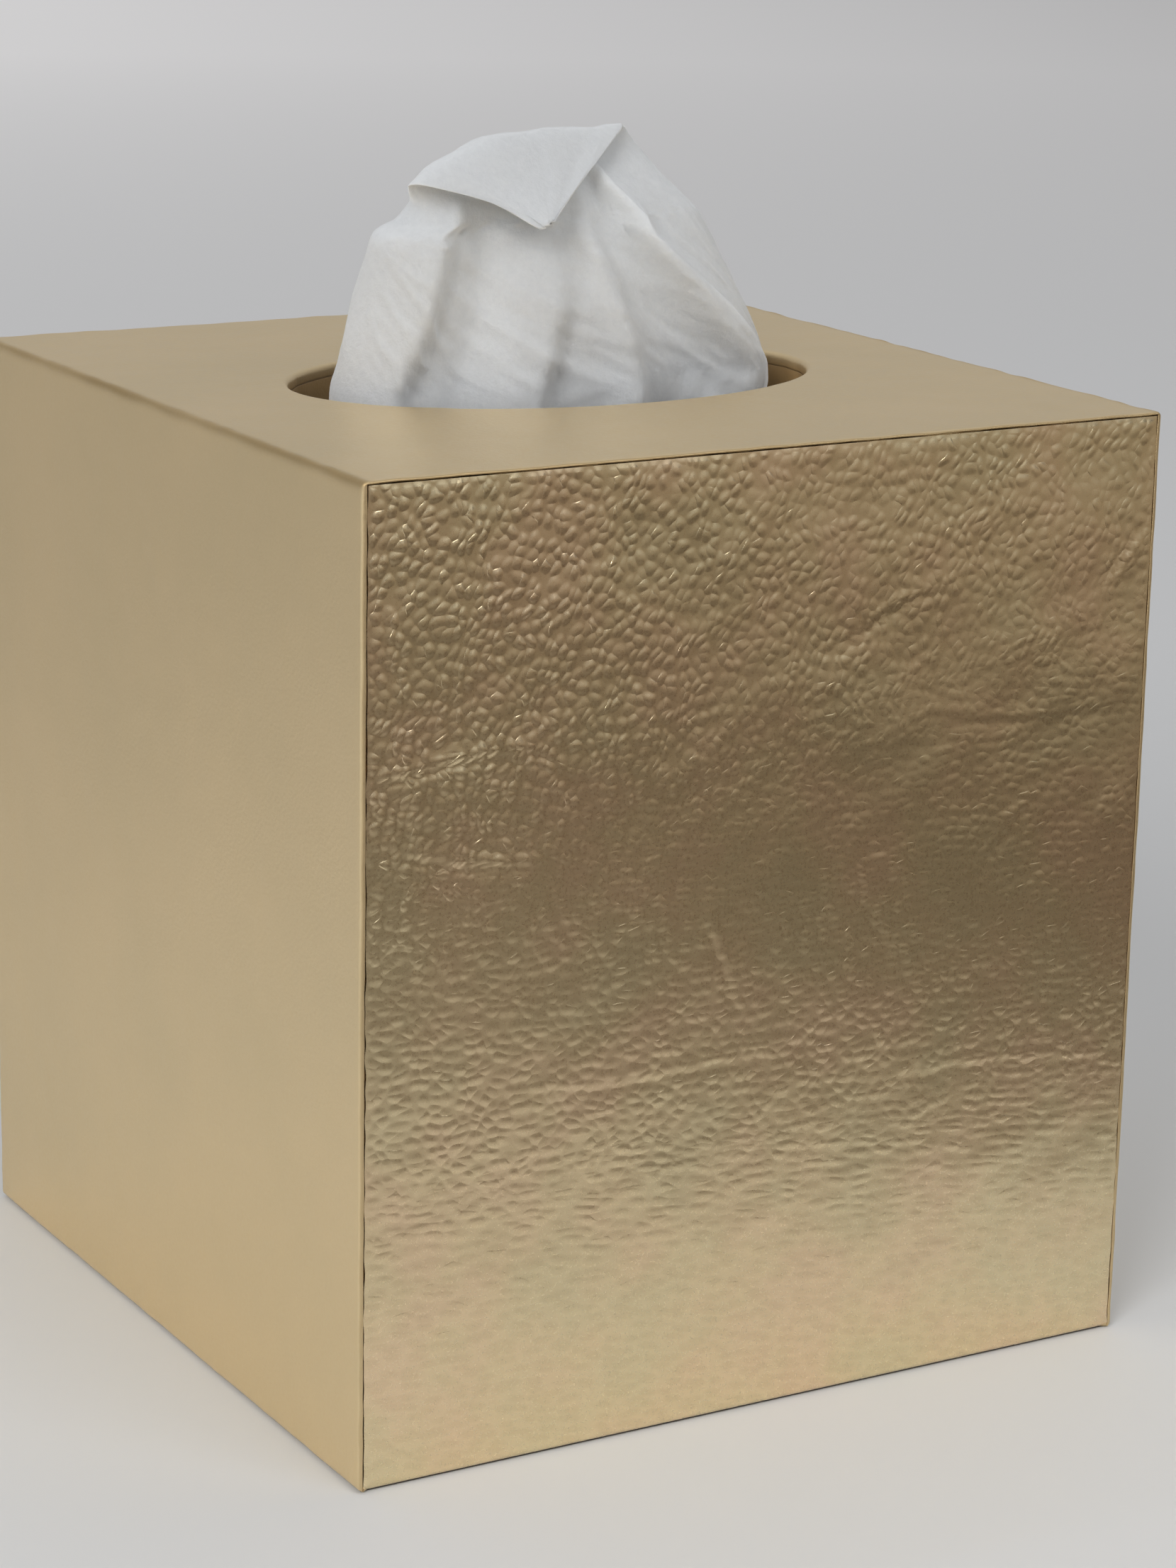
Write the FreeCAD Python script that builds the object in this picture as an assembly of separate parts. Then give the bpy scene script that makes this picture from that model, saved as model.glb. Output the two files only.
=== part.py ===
# Cube tissue box cover: fibreboard walls rebated and pinned together, wrapped in gold leather,
# lined inside and shod with felt. It stands over a paper carton, whose next tissue comes up
# through the oval mouth in the top. Millimetres, +Z up, origin at the middle of the base, front at -Y.
import FreeCAD
import Part
import math
import os

Vector = FreeCAD.Vector

# Cover, outside sizes over the leather and down to the felt
cover_width = 133.0
cover_depth = 133.0
cover_height = 146.0
mouth_length = 86.0
mouth_width = 56.0

# Carcass boards
board_thickness = 6.0
board_round = 0.2
rebate_depth = 3.0

# Panel pins in the glued joints
pin_diameter = 1.2
pin_length = 18.0
pin_point = 1.5
pin_head_diameter = 2.0
pin_head_height = 0.6
pin_clearance = 0.03
pin_end_distance = 24.0
wall_pin_count = 3
top_pin_count = 2

# Leather: a strap over the left side, top and right side, a panel on the front and one on the back
leather_thickness = 0.7
lip_width = 1.2
seam_gap = 0.4
hem_height = 14.0
mouth_roll_depth = 2.0

# Lining sheets and felt strips
lining_thickness = 0.5
felt_thickness = 1.0

# Carton with its film and folded sheets
carton_room = 3.8
carton_head_room = 11.0
carton_wall = 0.6
carton_crease = 0.6
film_thickness = 0.2
film_border = 5.0
film_end_show = 9.0
film_side_show = 18.0
slit_clearance = 0.8
stack_room = 0.6
stack_head_room = 3.0
stack_corner = 4.0

# Tissue: a pleated sheet drawn up through the slit, its top folded over to the front
tail_width = 50.0
tail_depth = 4.4
tail_seat = 0.3
tissue_end_room = 5.0
tissue_side_room = 9.0
tissue_rise = 36.0
tissue_lean = 18.0
pleat_share = 0.28
pleat_end_share = 0.2
pleat_bulge_share = 0.7
# Where the pleats meet along the front and the back, from end to end
front_pleat_shares = (-1.0, -0.54, -0.04, 0.43, 1.0)
back_pleat_shares = (1.0, 0.5, 0.0, -0.5, -1.0)
# Cross sections from the mouth to the tip of the fold: height above the cover, width, depth,
# way forward and way to the side as shares of the tissue's rise, foot and lean, then the tilt in degrees
tissue_shares = (
    (-0.18, 0.94, 0.84, 0.0, 0.0, 0),
    (0.06, 1.0, 1.0, 0.0, 0.0, 0),
    (0.45, 0.83, 0.78, 0.0, -0.02, 0),
    (0.78, 0.66, 0.5, 0.0, -0.045, 12),
    (0.98, 0.53, 0.2, 0.2, -0.05, 65),
    (0.92, 0.28, 0.09, 0.66, -0.1, 118),
    (0.68, 0.04, 0.05, 0.94, -0.14, 142),
)

overrun = 5.0

# Levels and half sizes worked out from the sizes above
fold_radius = board_round + leather_thickness
outer_x = cover_width / 2
outer_y = cover_depth / 2
core_x = outer_x - leather_thickness
core_y = outer_y - leather_thickness
core_bottom = felt_thickness + leather_thickness
core_top = cover_height - leather_thickness
cavity_x = core_x - board_thickness
cavity_y = core_y - board_thickness
cavity_top = core_top - board_thickness
hem_x = cavity_x - leather_thickness
hem_y = cavity_y - leather_thickness
hem_top = core_bottom + hem_height
tongue = board_thickness - rebate_depth
ledge_x = core_x - tongue
ledge_y = core_y - tongue
board_length_mouth = mouth_length + 2 * leather_thickness
board_width_mouth = mouth_width + 2 * leather_thickness
lining_bottom = hem_top + seam_gap
lining_top = cavity_top - lining_thickness
carton_x = cavity_x - lining_thickness - carton_room
carton_y = cavity_y - lining_thickness - carton_room
carton_top = lining_top - carton_head_room
film_top = carton_top - carton_wall
film_bottom = film_top - film_thickness
slit_length = tail_width + 2 * slit_clearance
slit_width = tail_depth + 2 * slit_clearance
carton_mouth_length = slit_length + 2 * film_end_show
carton_mouth_width = slit_width + 2 * film_side_show
stack_top = film_bottom - stack_head_room


def block(low, high):
    """A box between two opposite corners."""
    size = [b - a for a, b in zip(low, high)]
    return Part.makeBox(*size, Vector(*low))


def middle_block(half_x, half_y, bottom, top):
    """A box centred on the vertical axis."""
    return block((-half_x, -half_y, bottom), (half_x, half_y, top))


def oval(length, width, bottom, top):
    """An elliptical prism centred on the vertical axis, its long axis along X."""
    edge = Part.Ellipse(Vector(0, 0, bottom), length / 2, width / 2).toShape()
    return Part.Face(Part.Wire(edge)).extrude(Vector(0, 0, top - bottom))


def prism(points, bottom, top):
    """A plan outline carried up from one level to another."""
    corners = [Vector(x, y, bottom) for x, y in points]
    return Part.Face(Part.makePolygon(corners + corners[:1])).extrude(Vector(0, 0, top - bottom))


def rounded(shape, radius):
    """The shape with every edge rounded."""
    return shape.makeFillet(radius, shape.Edges)


def rounded_at(shape, radius, level, half_x, half_y):
    """The shape with its edges at one level rounded, those inside the given plan sizes."""
    edges = []
    for edge in shape.Edges:
        box = edge.BoundBox
        flat = abs(box.ZMin - level) < board_round / 10 and abs(box.ZMax - level) < board_round / 10
        inside = box.XMax < half_x and box.YMax < half_y
        if flat and inside:
            edges.append(edge)
    return shape.makeFillet(radius, edges)


def spread(half_span, count):
    """Places evenly spaced from one end of a span to the other."""
    step = 2 * half_span / (count - 1)
    return [-half_span + step * index for index in range(count)]


def carcass():
    """The boards as one block: rounded outside edges, an open base and the oval mouth."""
    core = rounded(middle_block(core_x, core_y, core_bottom, core_top), board_round)
    core = core.cut(middle_block(cavity_x, cavity_y, core_bottom - overrun, cavity_top))
    core = core.cut(oval(board_length_mouth, board_width_mouth, cavity_top - overrun, core_top + overrun))
    mouth_x = board_length_mouth / 2 + board_round
    mouth_y = board_width_mouth / 2 + board_round
    core = rounded_at(core, board_round, core_top, mouth_x, mouth_y)
    return rounded_at(core, board_round, core_bottom, cavity_x + board_round, cavity_y + board_round)


def skin(core):
    """The leather as one layer all over the carcass, turned up inside the base and down into the mouth."""
    outer = rounded(middle_block(outer_x, outer_y, felt_thickness, cover_height), fold_radius)
    outer = outer.cut(middle_block(hem_x, hem_y, felt_thickness - overrun, hem_top))
    outer = rounded_at(outer, fold_radius, felt_thickness, hem_x + board_round, hem_y + board_round)
    outer = outer.cut(middle_block(cavity_x, cavity_y, hem_top, cavity_top))
    outer = outer.cut(oval(mouth_length, mouth_width, cavity_top - overrun, cover_height + overrun))
    mouth_x = mouth_length / 2 + board_round
    mouth_y = mouth_width / 2 + board_round
    return rounded_at(outer, fold_radius, cover_height, mouth_x, mouth_y).cut(core)


def panel_region(side, gap):
    """The plan and height of the front (side -1) or back (side 1) leather, drawn in by a gap all round."""
    edge_x = outer_x - lip_width - gap
    inner_x = hem_x - lip_width - gap
    right = [(edge_x, outer_y + overrun), (edge_x, core_y), (inner_x, hem_y), (inner_x, hem_y - overrun)]
    left = [(-x, y) for x, y in reversed(right)]
    points = [(x, side * y) for x, y in right + left]
    return prism(points, felt_thickness - overrun, cover_height - lip_width - gap)


def mouth_region(top):
    """The part of the mouth's wall below a level."""
    margin = 2 * leather_thickness
    return oval(mouth_length + 2 * margin, mouth_width + 2 * margin, cavity_top - overrun, top)


def leathers(core):
    """The strap with its lips, the two panels and the band in the mouth, cut from one skin along the seams."""
    layer = skin(core)
    roll_bottom = cover_height - mouth_roll_depth
    strap = layer.cut(panel_region(-1, 0)).cut(panel_region(1, 0)).cut(mouth_region(roll_bottom))
    return {
        "leather_strap": strap,
        "front_leather": layer.common(panel_region(-1, seam_gap)),
        "back_leather": layer.common(panel_region(1, seam_gap)),
        "mouth_band": layer.common(mouth_region(roll_bottom - seam_gap)),
    }


def pin(clearance):
    """A panel pin along +Z from its head's top at the origin, or with a clearance the hole for one."""
    shank = pin_diameter / 2 + clearance
    head = pin_head_diameter / 2 + clearance
    tip = pin_length + clearance
    outline = [
        Vector(0, 0, 0),
        Vector(head, 0, 0),
        Vector(head, 0, pin_head_height),
        Vector(shank, 0, pin_head_height),
        Vector(shank, 0, tip - pin_point),
        Vector(0, 0, tip),
    ]
    face = Part.Face(Part.makePolygon(outline + outline[:1]))
    return face.revolve(Vector(0, 0, 0), Vector(0, 0, 1), 360)


def pin_places():
    """Where each pin's head lies and which way it is driven: through the front and back boards, and down."""
    places = []
    wall_middle = (core_bottom + cavity_top) / 2
    wall_span = (cavity_top - core_bottom) / 2 - pin_end_distance
    for side_x in (-1, 1):
        for side_y in (-1, 1):
            for height in spread(wall_span, wall_pin_count):
                head = Vector(side_x * (core_x - board_thickness / 2), side_y * core_y, wall_middle + height)
                places.append((head, Vector(0, -side_y, 0)))
    ledge = tongue + rebate_depth / 2
    for side in (-1, 1):
        for along in spread(cavity_y - pin_end_distance, top_pin_count):
            places.append((Vector(side * (core_x - ledge), along, core_top), Vector(0, 0, -1)))
        for along in spread(cavity_x - pin_end_distance, top_pin_count):
            places.append((Vector(along, side * (core_y - ledge), core_top), Vector(0, 0, -1)))
    return places


def pins(clearance):
    """All the pins, or all their holes, as one group."""
    shapes = []
    for head, direction in pin_places():
        turn = FreeCAD.Rotation(Vector(0, 0, 1), direction)
        shape = pin(clearance)
        shape.Placement = FreeCAD.Placement(head, turn)
        shapes.append(shape)
    return Part.makeCompound(shapes)


def boards(core):
    """The carcass taken apart: front and back rebated for the sides, and all four rebated for the top."""
    low = core_bottom - overrun
    high = core_top + overrun
    far_x = core_x + overrun
    far_y = core_y + overrun
    top_room = middle_block(ledge_x, ledge_y, cavity_top, high)
    left_room = block((-far_x, -ledge_y, low), (-cavity_x, ledge_y, high))
    right_room = block((cavity_x, -ledge_y, low), (far_x, ledge_y, high))
    walls = core.cut(top_room)
    ends = walls.cut(left_room).cut(right_room)
    shapes = {
        "front_board": ends.common(block((-far_x, -far_y, low), (far_x, -cavity_y, high))),
        "back_board": ends.common(block((-far_x, cavity_y, low), (far_x, far_y, high))),
        "left_board": walls.common(left_room),
        "right_board": walls.common(right_room),
        "top_board": core.common(top_room),
    }
    holes = pins(pin_clearance)
    return {name: shape.cut(holes) for name, shape in shapes.items()}


def linings():
    """Sheets glued inside the four walls above the leather hem, and under the top."""
    inner_x = cavity_x - lining_thickness
    inner_y = cavity_y - lining_thickness
    top = middle_block(cavity_x, cavity_y, lining_top, cavity_top)
    return {
        "top_lining": top.cut(oval(mouth_length, mouth_width, lining_top - overrun, cavity_top + overrun)),
        "front_lining": block((-cavity_x, -cavity_y, lining_bottom), (cavity_x, -inner_y, lining_top)),
        "back_lining": block((-cavity_x, inner_y, lining_bottom), (cavity_x, cavity_y, lining_top)),
        "left_lining": block((-cavity_x, -inner_y, lining_bottom), (-inner_x, inner_y, lining_top)),
        "right_lining": block((inner_x, -inner_y, lining_bottom), (cavity_x, inner_y, lining_top)),
    }


def felts():
    """Felt strips under the flat of the leather hem, the side strips butted between the other two."""
    far_x = outer_x - fold_radius
    far_y = outer_y - fold_radius
    near_x = hem_x + fold_radius
    near_y = hem_y + fold_radius
    return {
        "front_felt": block((-far_x, -far_y, 0), (far_x, -near_y, felt_thickness)),
        "back_felt": block((-far_x, near_y, 0), (far_x, far_y, felt_thickness)),
        "left_felt": block((-far_x, -near_y, 0), (-near_x, near_y, felt_thickness)),
        "right_felt": block((near_x, -near_y, 0), (far_x, near_y, felt_thickness)),
    }


def carton():
    """The paperboard box with its oval opening, the slit film under that, and the pile of folded sheets."""
    inner_x = carton_x - carton_wall
    inner_y = carton_y - carton_wall
    shell = rounded(middle_block(carton_x, carton_y, 0, carton_top), carton_crease + carton_wall)
    shell = shell.cut(rounded(middle_block(inner_x, inner_y, carton_wall, film_top), carton_crease))
    shell = shell.cut(oval(carton_mouth_length, carton_mouth_width, film_top - overrun, carton_top + overrun))
    film_x = carton_mouth_length / 2 + film_border
    film_y = carton_mouth_width / 2 + film_border
    film = middle_block(film_x, film_y, film_bottom, film_top)
    film = film.cut(oval(slit_length, slit_width, film_bottom - overrun, film_top + overrun))
    pile = middle_block(inner_x - stack_room, inner_y - stack_room, carton_wall, stack_top)
    upright = [e for e in pile.Edges if e.BoundBox.ZLength > stack_top / 2]
    return {
        "tissue_carton": shell,
        "carton_film": film,
        "tissue_stack": pile.makeFillet(stack_corner, upright),
    }


def pleated_wire(centre, half_width, half_depth, tilt):
    """A closed row of pleats, each one an arc that swells out between two creases, in a tilted plane."""
    lean = Vector(0, math.cos(math.radians(tilt)), math.sin(math.radians(tilt)))

    def place(x, y):
        return centre + Vector(x, 0, 0) + lean * y

    def fullness(share):
        return pleat_end_share + (1 - pleat_end_share) * math.sqrt(1 - share * share)

    def crease(share, side):
        depth = half_depth * fullness(share)
        if abs(share) < 1:
            depth = depth * (1 - pleat_share)
        return place(share * flat, side * depth)

    bulge = pleat_bulge_share * half_depth * pleat_end_share
    flat = half_width - bulge
    arcs = []
    for side, shares, end in ((-1, front_pleat_shares, 1), (1, back_pleat_shares, -1)):
        for start, stop in zip(shares, shares[1:]):
            middle = (start + stop) / 2
            crest = place(middle * flat, side * half_depth * fullness(middle))
            arcs.append(Part.Arc(crease(start, side), crest, crease(stop, side)).toShape())
        arcs.append(Part.Arc(crease(end, side), place(end * half_width, 0), crease(end, -side)).toShape())
    return Part.Wire(arcs)


def tissue():
    """The pulled sheet as one closed form: a tail in the slit, the pleats, and the top folded to the front."""
    foot_width = mouth_length - 2 * tissue_end_room
    foot_depth = mouth_width - 2 * tissue_side_room
    wires = []
    for level in (stack_top + tail_seat, carton_top):
        wires.append(pleated_wire(Vector(0, 0, level), tail_width / 2, tail_depth / 2, 0))
    for height, width, depth, lean, sway, tilt in tissue_shares:
        centre = Vector(sway * foot_width, -lean * tissue_lean, cover_height + height * tissue_rise)
        wires.append(pleated_wire(centre, width * foot_width / 2, depth * foot_depth / 2, tilt))
    return Part.makeLoft(wires, True, False)


parts = boards(carcass())
parts["panel_pins"] = pins(0)
parts.update(leathers(carcass()))
parts.update(linings())
parts.update(felts())
parts.update(carton())
parts["pulled_tissue"] = tissue()

os.makedirs("parts", exist_ok=True)
for name, shape in parts.items():
    shape.exportStep("parts/" + name + ".step")
    print(name, len(shape.Solids), "solids", round(shape.Volume, 1), "mm3", shape.isValid())
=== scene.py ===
import bpy
import numpy as np
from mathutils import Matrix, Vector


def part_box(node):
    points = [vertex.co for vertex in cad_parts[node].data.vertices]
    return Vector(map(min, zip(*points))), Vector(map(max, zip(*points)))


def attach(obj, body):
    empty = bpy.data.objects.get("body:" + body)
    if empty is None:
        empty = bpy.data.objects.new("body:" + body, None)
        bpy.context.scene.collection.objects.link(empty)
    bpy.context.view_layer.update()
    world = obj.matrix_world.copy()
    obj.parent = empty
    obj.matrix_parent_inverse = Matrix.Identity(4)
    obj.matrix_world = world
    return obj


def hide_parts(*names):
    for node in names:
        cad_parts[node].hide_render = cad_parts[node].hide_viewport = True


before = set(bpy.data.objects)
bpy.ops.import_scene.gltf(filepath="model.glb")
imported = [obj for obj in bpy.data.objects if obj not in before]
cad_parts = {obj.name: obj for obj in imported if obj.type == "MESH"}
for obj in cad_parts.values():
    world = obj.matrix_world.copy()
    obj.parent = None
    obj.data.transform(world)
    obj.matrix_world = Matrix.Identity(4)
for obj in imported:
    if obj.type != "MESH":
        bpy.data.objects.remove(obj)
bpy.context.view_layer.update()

# Boards
# Five pieces of 6 mm fibreboard, rebated into each other and glued. The leather and the lining
# hide all but what shows through the seams, so the solids stay and get the board's finish.


def new_finish(name):
    """A material with its node tree and the shader that its finish goes into."""
    material = bpy.data.materials.new(name)
    material.use_nodes = True
    return material, material.node_tree, material.node_tree.nodes["Principled BSDF"]


def add(tree, kind, inputs=(), **settings):
    """A node of that kind. Its inputs, given by name or in order, are sockets to link or values to set."""
    made = tree.nodes.new("ShaderNode" + kind)
    for name, value in settings.items():
        setattr(made, name, value)
    pairs = inputs.items() if isinstance(inputs, dict) else enumerate(inputs)
    for key, value in pairs:
        if isinstance(value, bpy.types.NodeSocket):
            tree.links.new(value, made.inputs[key])
        else:
            made.inputs[key].default_value = value
    return made


def place_of(tree, stretch=(1.0, 1.0, 1.0)):
    """Object coordinates, stretched along the axes where a pattern has a direction."""
    source = add(tree, "TexCoord").outputs["Object"]
    return add(tree, "Mapping", {"Vector": source, "Scale": stretch}).outputs["Vector"]


def ramp(tree, factor, *stops):
    """Colours set along a factor from 0 to 1, each stop a place and a colour."""
    made = add(tree, "ValToRGB", {"Fac": factor})
    for _ in range(len(stops) - 2):
        made.color_ramp.elements.new(0.5)
    for element, (place, colour) in zip(made.color_ramp.elements, stops):
        element.position = place
        element.color = (*colour, 1.0)
    return made.outputs["Color"]


def grain(tree, place, size, detail, roughness=0.55):
    """Soft noise with patches about that many metres across, from 0 to 1."""
    inputs = {"Vector": place, "Scale": 1.0 / size, "Detail": detail, "Roughness": roughness}
    return add(tree, "TexNoise", inputs).outputs["Fac"]


def times(tree, first, second):
    """One colour multiplied by another."""
    made = add(tree, "Mix", {0: 1.0, 6: first, 7: second}, data_type="RGBA", blend_type="MULTIPLY")
    return made.outputs[2]


def relief(tree, shader, height, depth):
    """Bump of that depth in metres from a height of 0 to 1, into the shader's normal."""
    bump = add(tree, "Bump", {"Height": height, "Distance": depth})
    tree.links.new(bump.outputs["Normal"], shader.inputs["Normal"])


def fibreboard():
    """Pressed wood fibre: a brown ground with pale and dark flecks, and a dusty matt face."""
    material, tree, shader = new_finish("fibreboard")
    place = place_of(tree)
    flecks = grain(tree, place, 0.0009, 8.0, 0.7)
    colour = ramp(tree, flecks, (0.3, (0.17, 0.1, 0.05)), (0.55, (0.36, 0.24, 0.13)),
                  (0.75, (0.5, 0.36, 0.22)))
    tree.links.new(colour, shader.inputs["Base Color"])
    shader.inputs["Roughness"].default_value = 0.85
    relief(tree, shader, flecks, 0.0002)
    return material


def dress(names, material):
    """Gives CAD nodes a finish."""
    for name in names:
        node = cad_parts[name]
        node.data.materials.clear()
        node.data.materials.append(material)


dress(["top_board", "front_board", "back_board", "left_board", "right_board"], fibreboard())

# Panel pins
# Fine steel pins driven through the rebates, their heads level with the board under the leather.


def pin_steel():
    """Drawn wire: bright steel with fine scratches along it."""
    material, tree, shader = new_finish("pin_steel")
    scratches = grain(tree, place_of(tree), 0.0003, 3.0)
    colour = ramp(tree, scratches, (0.3, (0.36, 0.36, 0.37)), (0.7, (0.6, 0.6, 0.61)))
    tree.links.new(colour, shader.inputs["Base Color"])
    shader.inputs["Metallic"].default_value = 1.0
    shader.inputs["Roughness"].default_value = 0.38
    relief(tree, shader, scratches, 0.00003)
    return material


dress(["panel_pins"], pin_steel())

# Leather strap
# One piece of thin gold-finished leather glued over the left side, the top and the right side. It turns
# onto the front and back as a narrow lip, rolls into the oval mouth, and turns under and up inside the base.

core_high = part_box("front_board")[1]
strap_low, strap_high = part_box("leather_strap")
side_x = strap_high.x
side_y = strap_high.y
top_z = strap_high.z
felt_sink = 0.0007
base_z = strap_low.z - felt_sink
leather = strap_high.x - core_high.x
skived = 0.0005
fold_room = 0.0002
fold = leather + fold_room
edge_fold = 0.0006
mouth_x, mouth_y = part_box("mouth_band")[1].xy
mouth_x = mouth_x - leather
mouth_y = mouth_y - leather
roll_depth = 0.002
lip = 0.0007
top_lip_share = 0.5
seam = 0.0002
top_seam = 1.3 * seam
board = core_high.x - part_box("top_lining")[1].x
hem_x = side_x - board - 2 * leather
hem_y = side_y - board - 2 * leather
hem_height = 0.014
hem_z = strap_low.z + leather + hem_height


def ripple(u, v, wavelength, seed, count=16):
    """Waves of about one wavelength added up at random headings: soft relief, mostly from -1 to 1."""
    draw = np.random.default_rng(seed)
    heading = draw.uniform(0, 2 * np.pi, count)
    pitch = 2 * np.pi / (wavelength * draw.uniform(0.7, 1.5, count))
    phase = draw.uniform(0, 2 * np.pi, count)
    along = u[..., None] * np.cos(heading) + v[..., None] * np.sin(heading)
    return np.sin(along * pitch + phase).sum(-1) / np.sqrt(count)


def fold_path(corners, runs, bend=7):
    """A line through the corners with every bend rounded. runs holds each straight's places, from 0 to 1,
    with its ends kept clear of the bends. Gives points on the sharp line, normals, mitres, and the run that
    each row is on, where a half is the bend between two runs."""
    corners = np.array(corners)
    steps = np.diff(corners, axis=0)
    steps = steps / np.linalg.norm(steps, axis=1)[:, None]
    normals = np.stack([-steps[:, 1], steps[:, 0]], 1)
    turn = np.linspace(0, np.pi / 2, bend)[:, None]
    point, normal, mitre, run = [], [], [], []
    last = len(steps) - 1
    for i, shares in enumerate(runs):
        start = corners[i] + steps[i] * (fold if i else 0)
        stop = corners[i + 1] - steps[i] * (fold if i < last else 0)
        point.append(start + np.asarray(shares)[:, None] * (stop - start))
        normal.append(np.repeat(normals[i:i + 1], len(shares), 0))
        mitre.append(normal[-1])
        run.append(np.full(len(shares), i))
        if i < last:
            point.append(np.repeat(corners[i + 1:i + 2], bend, 0))
            normal.append(np.cos(turn) * normals[i] + np.sin(turn) * normals[i + 1])
            mitre.append(np.repeat(normals[i:i + 1] + normals[i + 1], bend, 0))
            run.append(np.full(bend, i + 0.5))
    return [np.concatenate(part) for part in (point, normal, mitre, run)]


def on_path(path, depth):
    """Points at a depth under the path, bent to what is left of the fold radius there: the point, less the
    mitre times depth and radius together, plus the normal times the radius. The depth's last axis is one
    number, or one for each of the path's two directions."""
    point, normal, mitre, _ = [part.reshape(len(part), *[1] * (depth.ndim - 2), -1) for part in path]
    sharpest = fold / 8
    radius = np.maximum(fold - depth.max(-1, keepdims=True), sharpest)
    return point - (depth + radius) * mitre + radius * normal


def inner(count, crowding=0.0):
    """Places between 0 and 1, without the ends, crowded towards the ends by that share of the even step."""
    place = np.linspace(0, 1, count + 2)[1:-1]
    return place - crowding * np.sin(2 * np.pi * place) / (2 * np.pi)


def numbered(points):
    """The vertex numbers of a grid of points."""
    return np.arange(points[..., 0].size).reshape(points.shape[:2])


def quads(ids):
    """The faces of a grid of vertex numbers."""
    return np.stack([ids[:-1, :-1], ids[1:, :-1], ids[1:, 1:], ids[:-1, 1:]], -1).reshape(-1, 4)


def build(name, points, faces, body, slot, material, nodes, crease=50.0, **values):
    """A smooth mesh piece that replaces CAD nodes, with edges sharper than the crease angle kept sharp,
    riding on a body. Each of values is a named number for every point, for its material."""
    mesh = bpy.data.meshes.new(name)
    mesh.from_pydata(np.asarray(points).tolist(), [], [list(face) for face in faces])
    mesh.validate()
    mesh.shade_smooth()
    mesh.set_sharp_from_angle(angle=np.radians(crease))
    mesh.materials.append(material)
    for label, numbers in values.items():
        mesh.attributes.new(label, "FLOAT", "POINT").data.foreach_set("value", np.ravel(numbers))
    piece = bpy.data.objects.new(name, mesh)
    bpy.context.scene.collection.objects.link(piece)
    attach(piece, body)
    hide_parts(*nodes)
    return piece


def thicken(piece, thickness):
    """Gives a sheet its thickness, inwards from the face that shows."""
    wall = piece.modifiers.new("thickness", "SOLIDIFY")
    wall.thickness = thickness
    wall.offset = -1.0


def puckers(angle):
    """How far leather drawn round the oval stands out, in metres: two sets of small waves round it."""
    return 0.00005 * (np.sin(23 * angle) + np.sin(37 * angle + 1))


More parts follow.
